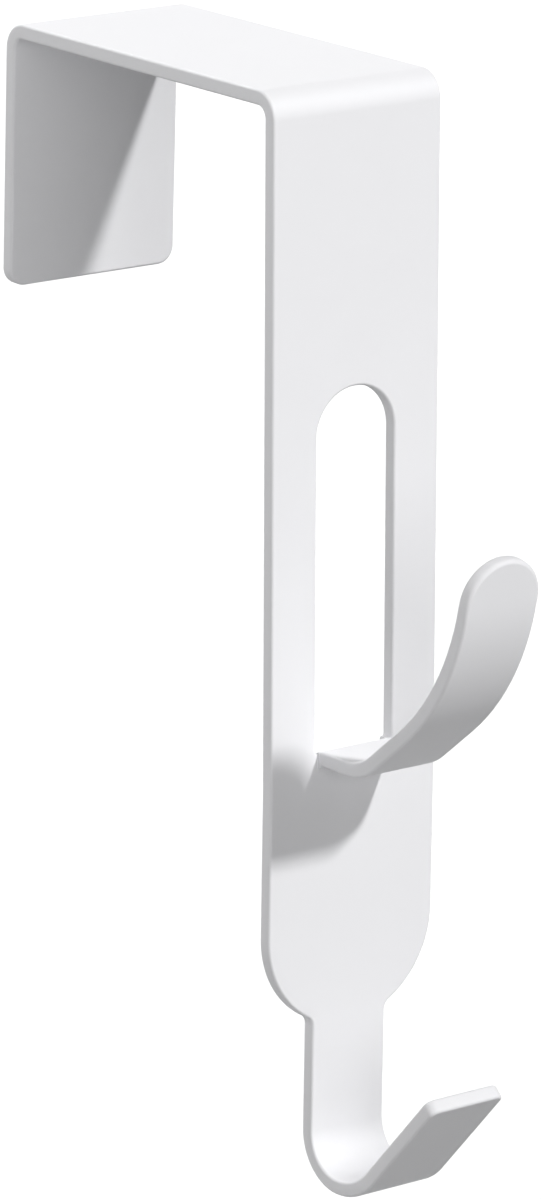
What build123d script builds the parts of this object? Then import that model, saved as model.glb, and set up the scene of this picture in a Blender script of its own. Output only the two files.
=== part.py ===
from build123d import *
from math import isclose, radians, tan
import os

os.makedirs("parts", exist_ok=True)

# Over-door hook, folded from one strip of sheet steel and powder coated white.
# The origin is in the middle of the underside of the top run, which sits on the door's top edge.
# X runs across the strip, -Y is the front with the two hooks, +Z is up. Depths go down from the origin.

# Sheet: in a bend its length stays the same at the neutral share of its thickness, from the inside
sheet = 1.5
strip_width = 20.0
edge_round = 0.3
neutral_share = 0.4

# Clip over the door: both legs open a little past square
door_gap = 40.0
clip_bend_radius = 1.2
leg_opening = 1.0
back_leg_depth = 25.0
back_corner_radius = 1.8

# Strap: below the tongue it is set back to vertical
set_depth = 66.0
set_radius = 20.0

# Lower end: a full round, a narrow neck and a hook with a slanted lip
round_depth = 81.15
neck_width = 8.9
neck_fillet = 1.1
bowl_depth = 105.35
heel_radius = 3.8
toe_radius = 6.3
lip_angle = 48.0
lip_length = 13.6
lip_corner_radius = 1.0

# Upper hook: a tongue cut free of the strap on three sides and bent forward at its root
root_depth = 65.2
root_radius = 0.75
root_flat = 3.2
crook_radius = 5.7
crook_angle = 39.5
crook_length = 5.65
tip_bend_radius = 24.35
tip_bend_angle = 40.0
tip_flat = 0.1
tongue_width = 8.7
kerf = 0.3

# What follows from these sizes: bends are drawn on the middle of the sheet
half_sheet = sheet / 2
clip_turn = 90 - leg_opening
seat_reach = door_gap / 2 - clip_bend_radius * tan(radians(clip_turn / 2))
strap_back = Plane.XZ.offset(door_gap / 2).rotated((-leg_opening, 0, 0))
strap_middle = strap_back.offset(half_sheet)


def is_wall(face):
    """A wall left by a cut is as high as the sheet is thick."""
    return any(isclose(edge.length, sheet, rel_tol=1e-4) for edge in face.edges())


# Tongue: its middle line leaves the strap upwards, turns forward and curls up to a full-round tip
with BuildPart() as tongue:
    with BuildSketch(Plane.YZ):
        with BuildLine() as tongue_fold:
            root = strap_middle.from_local_coords((0, -root_depth, 0))
            rise = strap_middle.y_dir
            root_bend = JernArc((root.Y, root.Z), (rise.Y, rise.Z), root_radius + half_sheet, 90 + leg_opening)
            flat = PolarLine(root_bend @ 1, root_flat, direction=root_bend % 1)
            crook = JernArc(flat @ 1, flat % 1, crook_radius + half_sheet, -crook_angle)
            run = PolarLine(crook @ 1, crook_length, direction=crook % 1)
            tip_bend = JernArc(run @ 1, run % 1, tip_bend_radius + half_sheet, -tip_bend_angle)
            tip = PolarLine(tip_bend @ 1, tip_flat + tongue_width / 2, direction=tip_bend % 1)
        trace(line_width=sheet)
    extrude(amount=tongue_width / 2, both=True)

    tip_end = tip @ 1
    tip_way = tip % 1
    tip_plane = Plane((0, tip_end.X, tip_end.Y), x_dir=(1, 0, 0), z_dir=(0, -tip_way.Y, tip_way.X))
    with BuildSketch(tip_plane):
        Rectangle(tongue_width, tongue_width)
        with Locations((0, -tongue_width / 2)):
            Circle(tongue_width / 2, mode=Mode.SUBTRACT)
    extrude(amount=sheet, both=True, mode=Mode.SUBTRACT)

    root_end = tongue.faces().sort_by(Axis.Y)[-1:]
    tongue_walls = tongue.faces().filter_by(is_wall) - root_end
    tongue_sides = tongue.faces() - tongue_walls - root_end
    fillet(tongue_walls.edges() & tongue_sides.edges(), radius=edge_round)

# Strip: back leg, top run and strap in one fold, cut to its outline, then the lower hook and the slot
with BuildPart() as door_hook:
    with BuildSketch(Plane.YZ):
        with BuildLine():
            seat = Line((seat_reach, half_sheet), (-seat_reach, half_sheet))
            back_bend = JernArc(seat @ 0, seat % 0 * -1, clip_bend_radius + half_sheet, -clip_turn)
            back_drop = back_leg_depth + (back_bend @ 1).Y
            PolarLine(back_bend @ 1, back_drop, direction=back_bend % 1, length_mode=LengthMode.VERTICAL)
            front_bend = JernArc(seat @ 1, seat % 1, clip_bend_radius + half_sheet, clip_turn)
            strap_drop = set_depth + (front_bend @ 1).Y
            strap = PolarLine(
                front_bend @ 1, strap_drop, direction=front_bend % 1, length_mode=LengthMode.VERTICAL
            )
            strap_set = JernArc(strap @ 1, strap % 1, set_radius + half_sheet, leg_opening)
            neck_drop = bowl_depth - heel_radius + (strap_set @ 1).Y
            neck = PolarLine(strap_set @ 1, neck_drop, direction=strap_set % 1)
        trace(line_width=sheet)
    extrude(amount=strip_width / 2, both=True)

    fold_box = door_hook.part.bounding_box()
    with BuildSketch(Plane.XZ) as outline:
        with Locations((0, -round_depth)):
            Rectangle(strip_width, round_depth + fold_box.max.Z, align=(Align.CENTER, Align.MIN))
            Circle(strip_width / 2)
            Rectangle(neck_width, bowl_depth - round_depth, align=(Align.CENTER, Align.MAX))
        fillet(outline.vertices().group_by(Axis.Y)[1], radius=neck_fillet)
    extrude(amount=fold_box.size.Y, both=True, mode=Mode.INTERSECT)

    with BuildSketch(Plane.YZ):
        with BuildLine():
            heel = JernArc(neck @ 1, neck % 1, heel_radius + half_sheet, -90)
            toe = JernArc(heel @ 1, heel % 1, toe_radius + half_sheet, -lip_angle)
            PolarLine(toe @ 1, lip_length, direction=toe % 1)
        trace(line_width=sheet)
    extrude(amount=neck_width / 2, both=True)

    sheet_edges = door_hook.edges().filter_by(lambda edge: isclose(edge.length, sheet, rel_tol=1e-4))
    fillet(sheet_edges.group_by(Axis.Y)[-1], radius=back_corner_radius)
    fillet(sheet_edges.group_by(Axis.Y)[0], radius=lip_corner_radius)

    tongue_turn = radians(90 + leg_opening + crook_angle + tip_bend_angle)
    tongue_blank = tongue_fold.wire().length - (0.5 - neutral_share) * sheet * tongue_turn
    slot_width = tongue_width + 2 * kerf
    slot_top = tongue_blank + kerf - root_depth
    slot_bottom = root_radius + sheet - kerf - root_depth
    with BuildSketch(strap_middle):
        with Locations((0, slot_top - slot_width / 2)):
            Circle(slot_width / 2)
            Rectangle(slot_width, slot_top - slot_width / 2 - slot_bottom, align=(Align.CENTER, Align.MAX))
    extrude(amount=sheet, both=True, mode=Mode.SUBTRACT)

    walls = door_hook.faces().filter_by(is_wall)
    sides = door_hook.faces() - walls
    fillet(walls.edges() & sides.edges(), radius=edge_round)

    with BuildSketch(strap_middle):
        with Locations((0, -root_depth)):
            Rectangle(tongue_width, slot_bottom + root_depth, align=(Align.CENTER, Align.MIN))
    extrude(amount=sheet, both=True, mode=Mode.SUBTRACT)
    add(tongue.part)

door_hook.part.label = "door_hook"
export_step(door_hook.part, "parts/door_hook.step")
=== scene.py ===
from math import atan2, ceil, cos, pi, radians, sin, sqrt, tan

import bmesh
import bpy
from mathutils import Matrix, Vector


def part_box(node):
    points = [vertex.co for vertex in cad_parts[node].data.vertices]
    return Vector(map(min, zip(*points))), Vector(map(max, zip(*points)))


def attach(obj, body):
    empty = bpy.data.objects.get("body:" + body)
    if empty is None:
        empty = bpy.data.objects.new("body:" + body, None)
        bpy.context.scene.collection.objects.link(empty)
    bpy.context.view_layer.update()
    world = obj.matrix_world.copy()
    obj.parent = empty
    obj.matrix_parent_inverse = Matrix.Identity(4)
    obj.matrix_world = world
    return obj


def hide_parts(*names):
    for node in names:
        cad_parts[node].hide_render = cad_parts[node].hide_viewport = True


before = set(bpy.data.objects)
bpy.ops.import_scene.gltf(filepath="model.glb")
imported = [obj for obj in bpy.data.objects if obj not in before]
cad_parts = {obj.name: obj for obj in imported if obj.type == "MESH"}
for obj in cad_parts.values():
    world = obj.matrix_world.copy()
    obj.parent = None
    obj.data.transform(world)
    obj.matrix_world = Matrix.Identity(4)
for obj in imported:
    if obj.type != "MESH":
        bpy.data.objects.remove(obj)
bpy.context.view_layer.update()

# Door hook: one strip of mild steel sheet, lanced and cut flat, then folded and powder coated white.
# Its clip hangs over the top of a door. The mesh is made as the real one is: a flat blank with rounded
# edges is folded along two middle lines, that of the strip and that of the tongue lanced out of it.
hook_low, hook_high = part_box("door_hook")
sheet = hook_high.z
strip_width = hook_high.x - hook_low.x
bowl_depth = -hook_low.z - sheet
edge_round = 0.0003
neutral_share = 0.4
middle_share = 0.5

door_gap = 0.040
leg_opening = radians(1.0)
clip_radius = 0.0012
back_leg_depth = 0.025
back_corner = 0.0018

set_depth = 0.066
set_radius = 0.020
round_depth = 0.08115
neck_width = 0.0089
neck_fillet = 0.0011
heel_radius = 0.0038
toe_radius = 0.0063
lip_angle = radians(48.0)
lip_length = 0.0136
lip_corner = 0.0010

root_depth = 0.0652
root_radius = 0.00075
root_flat = 0.0032
crook_radius = 0.0057
crook_angle = radians(39.5)
crook_length = 0.00565
tip_radius = 0.02435
tip_angle = radians(40.0)
tip_flat = 0.0001
tip_edge_round = 0.00045
tip_edge_run = 0.006
tongue_width = 0.0087
kerf = 0.0003
hairline = 0.000003

# Fold lines of the door hook: corners on the middle of the sheet, each with its bend's radius there
half_sheet = sheet / 2
half_clip_turn = (pi / 2 - leg_opening) / 2
clip_corner = door_gap / 2 + half_sheet * tan(half_clip_turn)
set_setback = (set_radius + half_sheet) * tan(leg_opening / 2)
set_corner_depth = set_depth + set_setback * cos(leg_opening)
toe_setback = (toe_radius + half_sheet) * tan(lip_angle / 2)
bowl_z = -bowl_depth - half_sheet


def leg_distance(depth):
    """How far a leg's middle line stands from the door's middle, at a depth below the top."""
    return clip_corner + (half_sheet + depth) * tan(leg_opening)


def climb(angle):
    """The way forward and up at an angle above the horizontal."""
    return Vector((0, -cos(angle), sin(angle)))


strap_y = -leg_distance(set_corner_depth)
toe_corner = Vector((0, strap_y - heel_radius - half_sheet - toe_setback, bowl_z))
strip_fold = [
    (Vector((0, leg_distance(back_leg_depth), -back_leg_depth)), 0.0),
    (Vector((0, clip_corner, half_sheet)), clip_radius + half_sheet),
    (Vector((0, -clip_corner, half_sheet)), clip_radius + half_sheet),
    (Vector((0, strap_y, -set_corner_depth)), set_radius + half_sheet),
    (Vector((0, strap_y, bowl_z)), heel_radius + half_sheet),
    (toe_corner, toe_radius + half_sheet),
    (toe_corner + (toe_setback + lip_length) * climb(lip_angle), 0.0),
]

strap_down = Vector((0, -sin(leg_opening), -cos(leg_opening)))
strap_front = Vector((0, -cos(leg_opening), sin(leg_opening)))
root_turn = pi / 2 + leg_opening
root_setback = (root_radius + half_sheet) * tan(root_turn / 2)
crook_setback = (crook_radius + half_sheet) * tan(crook_angle / 2)
tip_setback = (tip_radius + half_sheet) * tan(tip_angle / 2)
root = Vector((0, -door_gap / 2, 0)) + half_sheet * strap_front + root_depth * strap_down
root_corner = root - root_setback * strap_down
crook_corner = root_corner + (root_setback + root_flat + crook_setback) * climb(0)
tip_corner = crook_corner + (crook_setback + crook_length + tip_setback) * climb(crook_angle)
tongue_fold = [
    (root, 0.0),
    (root_corner, root_radius + half_sheet),
    (crook_corner, crook_radius + half_sheet),
    (tip_corner, tip_radius + half_sheet),
    (tip_corner + (tip_setback + tip_flat + tongue_width / 2) * climb(crook_angle + tip_angle), 0.0),
]


def unroll(fold):
    """Where each bend starts and ends along the flat blank, and the blank's whole length."""
    bends = []
    reached = 0.0
    lead = 0.0
    for (before, _), (corner, radius), (after, _) in zip(fold, fold[1:], fold[2:]):
        turn = (corner - before).angle(after - corner)
        setback = radius * tan(turn / 2)
        start = reached + (corner - before).length - lead - setback
        reached = start + radius * turn
        lead = setback
        bends.append((start, reached, turn))
    return bends, reached + (fold[-1][0] - fold[-2][0]).length - lead


def fold_curve(name, fold):
    """The fold line as a curve object that keeps each bend's radius in its points."""
    curve = bpy.data.curves.new(name, "CURVE")
    curve.dimensions = "3D"
    line = curve.splines.new("POLY")
    line.points.add(len(fold) - 1)
    for point, (corner, radius) in zip(line.points, fold):
        point.co = (*corner, 1.0)
        point.radius = radius
    curve_object = bpy.data.objects.new(name, curve)
    bpy.context.scene.collection.objects.link(curve_object)
    return curve_object


strip_bends, strip_length = unroll(strip_fold)
tongue_bends, tongue_length = unroll(tongue_fold)

# Flat blank of the door hook: its half outline, across the strip and along it from the back leg's end.
# A hairline keeps the sides of the tongue free of the strip beside its root.
row_turn = radians(3.5)
row_snap = 1e-7
weld_distance = 1e-6
edge_segments = 5
half_width = strip_width / 2
half_neck = neck_width / 2
half_tongue = tongue_width / 2
half_slot = half_tongue + kerf
slot_corner = kerf - hairline
front_bend_end = strip_bends[1][1]
heel_start = strip_bends[3][0]
root_at = front_bend_end - clip_radius * tan(half_clip_turn) + root_depth
round_at = heel_start - (bowl_depth - heel_radius - round_depth)
tongue_turn = root_turn + crook_angle + tip_angle
tongue_blank = tongue_length - (middle_share - neutral_share) * sheet * tongue_turn
slot_round_at = root_at - tongue_blank - kerf + half_slot
slot_bottom_at = root_at - (root_radius + sheet - kerf)
tip_round_at = root_at - tongue_length + half_tongue
fillet_across = half_neck + neck_fillet
fillet_along = sqrt((half_width + neck_fillet) ** 2 - fillet_across ** 2)
shoulder_turn = atan2(fillet_along, fillet_across)


def arc(across, along, radius, start, end):
    """Points of an arc on the flat blank."""
    steps = ceil(abs(end - start) / row_turn)
    angles = [start + (end - start) * step / steps for step in range(steps + 1)]
    return [(across + radius * cos(angle), along + radius * sin(angle)) for angle in angles]


half_outline = [
    (0.0, 0.0),
    *arc(half_width - back_corner, back_corner, back_corner, -pi / 2, 0),
    *arc(0.0, round_at, half_width, 0, shoulder_turn),
    *arc(fillet_across, round_at + fillet_along, neck_fillet, pi + shoulder_turn, pi),
    *arc(half_neck - lip_corner, strip_length - lip_corner, lip_corner, 0, pi / 2),
    (0.0, strip_length),
    (0.0, root_at),
    (half_tongue, root_at),
    (half_tongue + hairline, root_at),
    *arc(half_slot - slot_corner, slot_bottom_at - slot_corner, slot_corner, pi / 2, 0),
    *arc(0.0, slot_round_at, half_slot, 0, -pi / 2),
]
tongue_outline = [
    (half_tongue, root_at),
    (0.0, root_at),
    (-half_tongue, root_at),
    *arc(0.0, tip_round_at, half_tongue, -pi, 0),
]


def bend_rows(bends):
    """Stations along a blank at which its bends need a row of points."""
    rows = []
    for start, end, turn in bends:
        steps = ceil(turn / row_turn) + 1
        rows += [start + (end - start) * step / steps for step in range(steps + 1)]
    return rows


def flat_faces(outlines, rows):
    """A flat mesh of outlines, cut across at each row."""
    flat = bmesh.new()
    for outline in outlines:
        flat.faces.new([flat.verts.new((across, along, 0.0)) for across, along in outline])
    for row in rows:
        everything = flat.verts[:] + flat.edges[:] + flat.faces[:]
        bmesh.ops.bisect_plane(
            flat, geom=everything, dist=row_snap, plane_co=(0, row, 0), plane_no=(0, 1, 0)
        )
    return flat


other_half = [(-across, along) for across, along in reversed(half_outline)]
blank = flat_faces([half_outline, other_half], bend_rows(strip_bends))
tongue_rows = [root_at - station for station in bend_rows(tongue_bends)]
tongue = flat_faces([tongue_outline], [*tongue_rows, slot_bottom_at])

# The tongue's points are marked, and so are the edges to round: all but the hairline by the root.
# The edges grow rounder towards the tongue's tip.
blank.verts.layers.float.new("on_tongue")
tongue_points = tongue.verts.layers.float.new("on_tongue")
for point in tongue.verts:
    point[tongue_points] = 1.0
tongue_mesh = bpy.data.meshes.new("tongue_blank")
tongue.to_mesh(tongue_mesh)
tongue.free()
blank.from_mesh(tongue_mesh)
bpy.data.meshes.remove(tongue_mesh)
bmesh.ops.remove_doubles(blank, verts=blank.verts, dist=weld_distance)

tongue_marks = blank.verts.layers.float["on_tongue"]
rounding = blank.edges.layers.float.new("bevel_weight_edge")
for edge in blank.edges:
    middle = (edge.verts[0].co + edge.verts[1].co) / 2
    beside_tongue = abs(abs(middle.x) - half_tongue) < 2 * hairline
    in_hairline = beside_tongue and slot_bottom_at < middle.y < root_at + hairline
    tongue_edge = min(point[tongue_marks] for point in edge.verts)
    near_tip = min(max((tip_round_at + tip_edge_run - middle.y) / tip_edge_run, 0.0), 1.0)
    edge_radius = edge_round + (tip_edge_round - edge_round) * tongue_edge * near_tip
    edge[rounding] = edge_radius / tip_edge_round if edge.is_boundary and not in_hairline else 0.0
for face in blank.faces:
    face.smooth = True
blank_mesh = bpy.data.meshes.new("door_hook_blank")
blank.to_mesh(blank_mesh)
blank.free()
blank_object = bpy.data.objects.new("door_hook_blank", blank_mesh)
bpy.context.scene.collection.objects.link(blank_object)

thickness = blank_object.modifiers.new("Sheet", "SOLIDIFY")
thickness.thickness = sheet
thickness.offset = 0.0
round_edges = blank_object.modifiers.new("Rounded edges", "BEVEL")
round_edges.width = tip_edge_round
round_edges.segments = edge_segments
round_edges.limit_method = "WEIGHT"
round_edges.use_clamp_overlap = False

# White powder coat of the door hook: baked satin polyester with a fine orange peel, darker on cut edges,
# partly as a thinner coat and partly as painted shade
coat_light = (0.880, 0.880, 0.897)
coat_dull = (0.864, 0.864, 0.881)
# Colour of the cut walls: partly a thinner coat there, partly painted shade that darkens the edges and
# holds the lit cut walls down
edge_thin_coat_and_shade = (0.830, 0.830, 0.846)
coat_roughness = 0.52
coat_roughness_spread = 0.05
coat_specular = 0.25
peel_size = 0.0007
peel_height = 0.000006
peel_detail = 1.0
mottle_size = 0.006
mottle_detail = 3.0
rim_depth = 0.0001

coat = bpy.data.materials.new("white_powder_coat")
coat.use_nodes = True
coat_nodes = coat.node_tree.nodes
coat_links = coat.node_tree.links
paint = coat_nodes["Principled BSDF"]
paint.inputs["Specular IOR Level"].default_value = coat_specular
place = coat_nodes.new("ShaderNodeTexCoord")

mottle = coat_nodes.new("ShaderNodeTexNoise")
mottle.inputs["Scale"].default_value = 1 / mottle_size
mottle.inputs["Detail"].default_value = mottle_detail
coat_links.new(place.outputs["Object"], mottle.inputs["Vector"])
body_colour = coat_nodes.new("ShaderNodeMix")
body_colour.data_type = "RGBA"
body_colour.inputs["A"].default_value = (*coat_dull, 1)
body_colour.inputs["B"].default_value = (*coat_light, 1)
coat_links.new(mottle.outputs["Fac"], body_colour.inputs["Factor"])

rim = coat_nodes.new("ShaderNodeAttribute")
rim.attribute_name = "rim"
# The cut walls take the darker edge colour: partly a thinner coat, partly painted shade
edge_coat_and_shade_mix = coat_nodes.new("ShaderNodeMix")
edge_coat_and_shade_mix.data_type = "RGBA"
edge_coat_and_shade_mix.inputs["B"].default_value = (*edge_thin_coat_and_shade, 1)
coat_links.new(rim.outputs["Fac"], edge_coat_and_shade_mix.inputs["Factor"])
coat_links.new(body_colour.outputs["Result"], edge_coat_and_shade_mix.inputs["A"])
coat_links.new(edge_coat_and_shade_mix.outputs["Result"], paint.inputs["Base Color"])

gloss = coat_nodes.new("ShaderNodeMapRange")
gloss.inputs["To Min"].default_value = coat_roughness - coat_roughness_spread
gloss.inputs["To Max"].default_value = coat_roughness + coat_roughness_spread
coat_links.new(mottle.outputs["Fac"], gloss.inputs["Value"])
coat_links.new(gloss.outputs["Result"], paint.inputs["Roughness"])

peel = coat_nodes.new("ShaderNodeTexNoise")
peel.inputs["Scale"].default_value = 1 / peel_size
peel.inputs["Detail"].default_value = peel_detail
coat_links.new(place.outputs["Object"], peel.inputs["Vector"])
peel_bump = coat_nodes.new("ShaderNodeBump")
peel_bump.inputs["Distance"].default_value = peel_height
coat_links.new(peel.outputs["Fac"], peel_bump.inputs["Height"])
coat_links.new(peel_bump.outputs["Normal"], paint.inputs["Normal"])

# Fold of the door hook: each point of the blank goes to its station on a fold line, square to the sheet
bend_points = 64
sharp_angle = radians(50.0)

fold_tree = bpy.data.node_groups.new("Fold the blank", "GeometryNodeTree")
fold_nodes = fold_tree.nodes
fold_links = fold_tree.links
fold_sockets = {}
for name, socket_type in (
    ("Blank", "NodeSocketGeometry"),
    ("Strip fold line", "NodeSocketObject"),
    ("Tongue fold line", "NodeSocketObject"),
    ("Tongue root", "NodeSocketFloat"),
    ("Points in a bend", "NodeSocketInt"),
    ("Half sheet", "NodeSocketFloat"),
    ("Rim depth", "NodeSocketFloat"),
    ("Coat", "NodeSocketMaterial"),
):
    fold_sockets[name] = fold_tree.interface.new_socket(name, in_out="INPUT", socket_type=socket_type)
fold_tree.interface.new_socket("Folded sheet", in_out="OUTPUT", socket_type="NodeSocketGeometry")
fold_in = fold_nodes.new("NodeGroupInput")
fold_out = fold_nodes.new("NodeGroupOutput")


def calculate(operation, first, second):
    """A Math node on two sockets, or on a socket and a number."""
    node = fold_nodes.new("ShaderNodeMath")
    node.operation = operation
    fold_links.new(first, node.inputs[0])
    if isinstance(second, (int, float)):
        node.inputs[1].default_value = second
    else:
        fold_links.new(second, node.inputs[1])
    return node.outputs["Value"]


def vector_step(operation, **sockets):
    """A Vector Math node, its inputs given as first, second or scale."""
    node = fold_nodes.new("ShaderNodeVectorMath")
    node.operation = operation
    places = {"first": 0, "second": 1, "scale": "Scale"}
    for key, value in sockets.items():
        if isinstance(value, (tuple, float)):
            node.inputs[places[key]].default_value = value
        else:
            fold_links.new(value, node.inputs[places[key]])
    return node.outputs["Vector"]


def follow(line_name, station):
    """Place and direction at a station on a fold line, whose corners get their bends here."""
    line = fold_nodes.new("GeometryNodeObjectInfo")
    fold_links.new(fold_in.outputs[line_name], line.inputs["Object"])
    bend_radius = fold_nodes.new("GeometryNodeInputRadius")
    bends = fold_nodes.new("GeometryNodeFilletCurve")
    bends.mode = "POLY"
    fold_links.new(line.outputs["Geometry"], bends.inputs["Curve"])
    fold_links.new(fold_in.outputs["Points in a bend"], bends.inputs["Count"])
    fold_links.new(bend_radius.outputs["Radius"], bends.inputs["Radius"])
    sample = fold_nodes.new("GeometryNodeSampleCurve")
    sample.mode = "LENGTH"
    fold_links.new(bends.outputs["Curve"], sample.inputs["Curves"])
    fold_links.new(station, sample.inputs["Length"])
    return sample.outputs["Position"], sample.outputs["Tangent"]


def choose(on_tongue, strip_value, tongue_value):
    """The strip's vector, or the tongue's on the tongue."""
    switch = fold_nodes.new("GeometryNodeSwitch")
    switch.input_type = "VECTOR"
    fold_links.new(on_tongue, switch.inputs["Switch"])
    fold_links.new(strip_value, switch.inputs["False"])
    fold_links.new(tongue_value, switch.inputs["True"])
    return switch.outputs["Output"]


flat_place = fold_nodes.new("GeometryNodeInputPosition")
flat_parts = fold_nodes.new("ShaderNodeSeparateXYZ")
fold_links.new(flat_place.outputs["Position"], flat_parts.inputs["Vector"])
tongue_mark = fold_nodes.new("GeometryNodeInputNamedAttribute")
tongue_mark.data_type = "FLOAT"
tongue_mark.inputs["Name"].default_value = "on_tongue"
on_tongue = calculate("GREATER_THAN", tongue_mark.outputs["Attribute"], 0.5)
tongue_station = calculate("SUBTRACT", fold_in.outputs["Tongue root"], flat_parts.outputs["Y"])

strip_place, strip_way = follow("Strip fold line", flat_parts.outputs["Y"])
tongue_place, tongue_way = follow("Tongue fold line", tongue_station)
line_place = choose(on_tongue, strip_place, tongue_place)
line_way = choose(on_tongue, strip_way, vector_step("SCALE", first=tongue_way, scale=-1.0))
square = vector_step("CROSS_PRODUCT", first=(1.0, 0.0, 0.0), second=line_way)
lifted = vector_step("SCALE", first=square, scale=flat_parts.outputs["Z"])
across = fold_nodes.new("ShaderNodeCombineXYZ")
fold_links.new(flat_parts.outputs["X"], across.inputs["X"])
beside = vector_step("ADD", first=line_place, second=across.outputs["Vector"])
folded_place = vector_step("ADD", first=beside, second=lifted)

# The rim value is 0 on the sheet's faces and 1 on its cut walls, where the coat is darker: partly a
# thinner coat, partly painted shade
sheet_height = fold_nodes.new("ShaderNodeMath")
sheet_height.operation = "ABSOLUTE"
fold_links.new(flat_parts.outputs["Z"], sheet_height.inputs[0])
below_face = calculate("SUBTRACT", fold_in.outputs["Half sheet"], sheet_height.outputs["Value"])
rim_share = calculate("DIVIDE", below_face, fold_in.outputs["Rim depth"])
rim_value = calculate("MINIMUM", rim_share, 1.0)
keep_rim = fold_nodes.new("GeometryNodeStoreNamedAttribute")
keep_rim.data_type = "FLOAT"
keep_rim.domain = "POINT"
keep_rim.inputs["Name"].default_value = "rim"
fold_links.new(fold_in.outputs["Blank"], keep_rim.inputs["Geometry"])
fold_links.new(rim_value, keep_rim.inputs["Value"])

fold_sheet = fold_nodes.new("GeometryNodeSetPosition")
fold_links.new(keep_rim.outputs["Geometry"], fold_sheet.inputs["Geometry"])
fold_links.new(folded_place, fold_sheet.inputs["Position"])
edge_angle = fold_nodes.new("GeometryNodeInputMeshEdgeAngle")
is_sharp = calculate("GREATER_THAN", edge_angle.outputs["Unsigned Angle"], sharp_angle)
keep_sharp = fold_nodes.new("GeometryNodeSetShadeSmooth")
keep_sharp.domain = "EDGE"
keep_sharp.inputs["Shade Smooth"].default_value = False
fold_links.new(fold_sheet.outputs["Geometry"], keep_sharp.inputs["Geometry"])
fold_links.new(is_sharp, keep_sharp.inputs["Selection"])
realize = fold_nodes.new("GeometryNodeRealizeInstances")
fold_links.new(keep_sharp.outputs["Geometry"], realize.inputs["Geometry"])
set_coat = fold_nodes.new("GeometryNodeSetMaterial")
fold_links.new(realize.outputs["Geometry"], set_coat.inputs["Geometry"])
fold_links.new(fold_in.outputs["Coat"], set_coat.inputs["Material"])
fold_links.new(set_coat.outputs["Geometry"], fold_out.inputs["Folded sheet"])

strip_line = fold_curve("strip_fold_line", strip_fold)
tongue_line = fold_curve("tongue_fold_line", tongue_fold)
folding = blank_object.modifiers.new("Fold", "NODES")
folding.node_group = fold_tree
folding[fold_sockets["Strip fold line"].identifier] = strip_line
folding[fold_sockets["Tongue fold line"].identifier] = tongue_line
folding[fold_sockets["Tongue root"].identifier] = root_at
folding[fold_sockets["Points in a bend"].identifier] = bend_points
folding[fold_sockets["Half sheet"].identifier] = half_sheet
folding[fold_sockets["Rim depth"].identifier] = rim_depth
folding[fold_sockets["Coat"].identifier] = coat
flat_shading = blank_object.modifiers.new("Flat faces stay flat", "WEIGHTED_NORMAL")
flat_shading.keep_sharp = True

evaluated = bpy.context.evaluated_depsgraph_get()
hook_mesh = bpy.data.meshes.new_from_object(blank_object.evaluated_get(evaluated), depsgraph=evaluated)
hook_mesh.name = "door_hook_folded"
door_hook = bpy.data.objects.new("folded_door_hook", hook_mesh)
bpy.context.scene.collection.objects.link(door_hook)
for helper in (blank_object, strip_line, tongue_line):
    bpy.data.objects.remove(helper)
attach(door_hook, "root")
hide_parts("door_hook")

# Floor: a plain pale studio floor, well below the hanging hook.
# It shows white to the camera and in reflections, and still takes the hook's shadow.
floor_depth = 0.25
floor_reach = 1.5
floor_seen = 0.50
floor_light = 0.10
floor_glow = 0.57
floor_roughness = 0.9

floor_mesh = bpy.data.meshes.new("floor")
floor_corners = [(-1, -1), (1, -1), (1, 1), (-1, 1)]
floor_points = [(x * floor_reach, y * floor_reach, -floor_depth) for x, y in floor_corners]
floor_mesh.from_pydata(floor_points, [], [(0, 1, 2, 3)])
floor = bpy.data.objects.new("floor", floor_mesh)
bpy.context.scene.collection.objects.link(floor)


def seen_white(tree):
    """1 where the camera, a reflection or glass looks at the surface, and 0 where it only gives light."""
    ray = tree.nodes.new("ShaderNodeLightPath")
    seen = ray.outputs["Is Camera Ray"]
    for kind in ("Is Glossy Ray", "Is Transmission Ray"):
        either = tree.nodes.new("ShaderNodeMath")
        either.operation = "MAXIMUM"
        tree.links.new(seen, either.inputs[0])
        tree.links.new(ray.outputs[kind], either.inputs[1])
        seen = either.outputs["Value"]
    return seen


floor_finish = bpy.data.materials.new("pale_floor")
floor_finish.use_nodes = True
floor_surface = floor_finish.node_tree.nodes["Principled BSDF"]
floor_surface.inputs["Roughness"].default_value = floor_roughness
floor_surface.inputs["Emission Color"].default_value = (1, 1, 1, 1)
floor_white = seen_white(floor_finish.node_tree)
floor_colour = floor_finish.node_tree.nodes.new("ShaderNodeMapRange")
floor_colour.inputs["To Min"].default_value = floor_light
floor_colour.inputs["To Max"].default_value = floor_seen
floor_finish.node_tree.links.new(floor_white, floor_colour.inputs["Value"])
floor_finish.node_tree.links.new(floor_colour.outputs["Result"], floor_surface.inputs["Base Color"])
glow = floor_finish.node_tree.nodes.new("ShaderNodeMath")
glow.operation = "MULTIPLY"
glow.inputs[1].default_value = floor_glow
floor_finish.node_tree.links.new(floor_white, glow.inputs[0])
floor_finish.node_tree.links.new(glow.outputs["Value"], floor_surface.inputs["Emission Strength"])
floor_mesh.materials.append(floor_finish)

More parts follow.
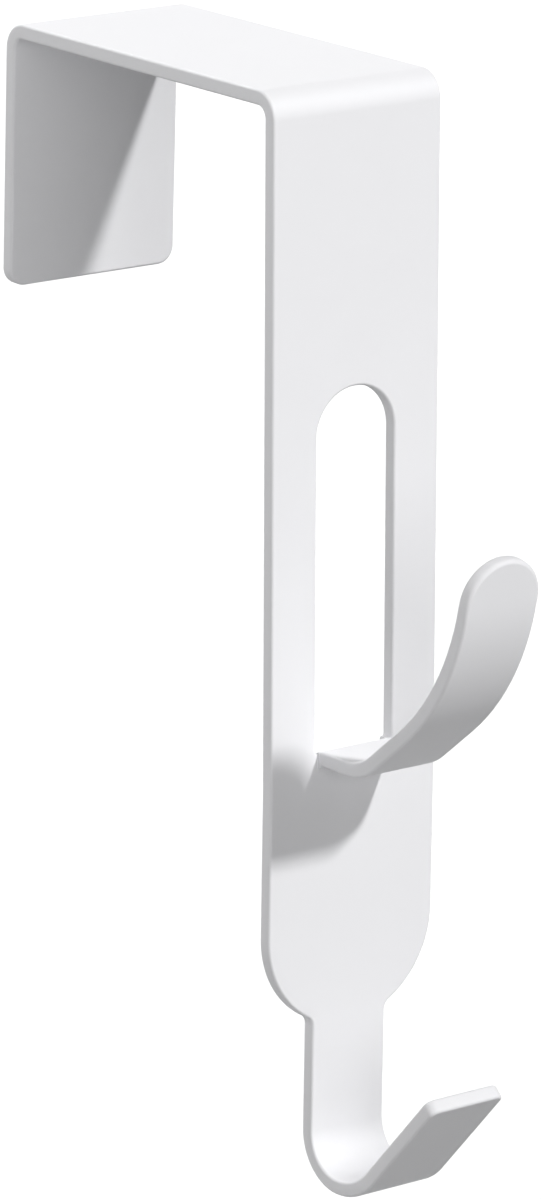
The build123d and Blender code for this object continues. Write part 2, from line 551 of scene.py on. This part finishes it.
# Studio light: a small key lamp high at the right front, a broad low fill from the left front, a broad
# lamp at the left and a rim lamp behind. The key draws the tongue's shadow on the strap and the clip's on
# the back leg. The surround is dim and even, and shows white to the camera and in reflections.
# Each lamp has a name, a direction from the hook, a spread and a strength.
surround = 0.02
lamps = [
    ("key", Vector((0.42, -0.92, 1.0)), radians(4.0), 2.42),
    ("fill", Vector((-0.32, -0.95, 0.03)), radians(50.0), 1.48),
    ("left", Vector((-1.0, 0.3, 0.0)), radians(60.0), 1.5),
    ("rim", Vector((0.0, 0.9, 0.42)), radians(50.0), 2.4),
]

world = bpy.data.worlds.new("studio")
bpy.context.scene.world = world
world.use_nodes = True
sky = world.node_tree.nodes["Background"]
sky.inputs["Color"].default_value = (1, 1, 1, 1)
sky_level = world.node_tree.nodes.new("ShaderNodeMapRange")
sky_level.inputs["To Min"].default_value = surround
sky_level.inputs["To Max"].default_value = 1.0
world.node_tree.links.new(seen_white(world.node_tree), sky_level.inputs["Value"])
world.node_tree.links.new(sky_level.outputs["Result"], sky.inputs["Strength"])

for lamp_name, lamp_way, lamp_spread, lamp_strength in lamps:
    lamp_light = bpy.data.lights.new(lamp_name, "SUN")
    lamp_light.angle = lamp_spread
    lamp_light.energy = lamp_strength
    lamp = bpy.data.objects.new(lamp_name, lamp_light)
    lamp.location = lamp_way
    lamp.rotation_euler = lamp_way.to_track_quat("Z", "Y").to_euler()
    bpy.context.scene.collection.objects.link(lamp)

bpy.context.scene.view_settings.view_transform = "Standard"

# Camera: at the photograph's angle, left of the hook's front and a little above it.
# Its lens is long, so that the legs look almost parallel, and it is turned a little about its axis.
camera_azimuth = radians(-37.76)
camera_elevation = radians(15.70)
camera_roll = radians(0.87)
camera_distance = 0.6609
camera_aim = Vector((-0.00442, -0.01489, -0.04967))
sensor_width = 36.0
focal_length = 206.52

back = Vector((
    sin(camera_azimuth) * cos(camera_elevation),
    -cos(camera_azimuth) * cos(camera_elevation),
    sin(camera_elevation),
))
right = Vector((cos(camera_azimuth), sin(camera_azimuth), 0.0))
up = back.cross(right)
turned = Matrix((right, up, back)).transposed() @ Matrix.Rotation(camera_roll, 3, "Z")
lens = bpy.data.cameras.new("camera")
lens.sensor_width = sensor_width
lens.lens = focal_length
camera = bpy.data.objects.new("camera", lens)
camera.matrix_world = Matrix.Translation(camera_aim + camera_distance * back) @ turned.to_4x4()
bpy.context.scene.collection.objects.link(camera)
bpy.context.scene.camera = camera
